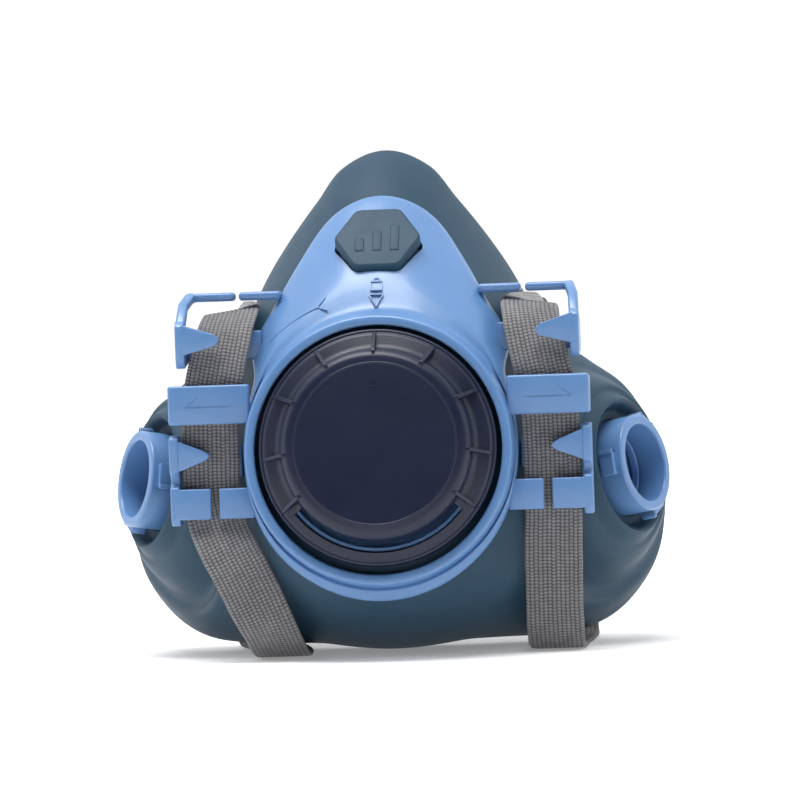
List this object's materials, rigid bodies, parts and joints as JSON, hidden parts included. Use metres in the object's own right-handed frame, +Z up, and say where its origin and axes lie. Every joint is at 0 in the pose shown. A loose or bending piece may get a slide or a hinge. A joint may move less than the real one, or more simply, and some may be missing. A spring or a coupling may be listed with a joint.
{
  "type": "respirator",
  "caption": "Half-mask respirator with a rubber facepiece, stiff front yoke, twist-off exhalation cover, side filter connectors and elastic head and neck straps.",
  "frame": {"origin": "on the table, under the middle of the whole object as it stands on its chin straps", "axes": "-Y is the way the wearer looks, through the exhalation cover; +Z is up along the nose; +X is the wearer's left side"},
  "size_m": [0.1482, 0.122, 0.1337],
  "materials": {
    "facepiece_rubber": "matte moulded rubber, blue-grey",
    "yoke_plastic": "smooth moulded plastic, light blue",
    "cap_plastic": "fine-textured moulded plastic, dark navy",
    "flap_silicone": "thin milky silicone",
    "strap_webbing": "woven elastic webbing, grey",
    "fitting_plastic": "satin moulded plastic, charcoal"
  },
  "bodies": {
    "mask": {"facepiece": "facepiece_rubber", "size_badge": "facepiece_rubber", "yoke": "yoke_plastic", "valve_seat": "yoke_plastic", "connector_left": "yoke_plastic", "lock_ring_left": "yoke_plastic", "inhale_seat_left": "yoke_plastic", "strap_left": "strap_webbing", "strap_slider_left": "fitting_plastic", "connector_right": "yoke_plastic", "lock_ring_right": "yoke_plastic", "inhale_seat_right": "yoke_plastic", "strap_right": "strap_webbing", "strap_slider_right": "fitting_plastic", "head_cradle": "fitting_plastic", "clip_socket": "fitting_plastic", "clip_plug": "fitting_plastic"},
    "cover": {"valve_cap": "cap_plastic"},
    "exhale_valve": {"exhale_flap": "flap_silicone"},
    "inhale_valve_left": {"inhale_flap_left": "flap_silicone"},
    "inhale_valve_right": {"inhale_flap_right": "flap_silicone"}
  },
  "joints": [
    {"name": "cover_twist", "type": "hinge", "parent": "mask", "child": "cover", "pos_m": [0, -0.04448, 0.0549], "axis": [0, -0.9903, 0.1392], "range_deg": [0, 30]},
    {"name": "exhale_lift", "type": "slide", "parent": "mask", "child": "exhale_valve", "axis": [0, -0.9903, 0.1392], "range_m": [0, 0.0018], "stiffness_N_per_m": 40, "springref_m": -0.0005},
    {"name": "inhale_lift_left", "type": "slide", "parent": "mask", "child": "inhale_valve_left", "axis": [0.8788, 0.4479, -0.165], "range_m": [0, 0.0015], "stiffness_N_per_m": 30, "springref_m": -0.0003},
    {"name": "inhale_lift_right", "type": "slide", "parent": "mask", "child": "inhale_valve_right", "axis": [-0.8788, 0.4479, -0.165], "range_m": [0, 0.0015], "stiffness_N_per_m": 30, "springref_m": -0.0003}
  ]
}
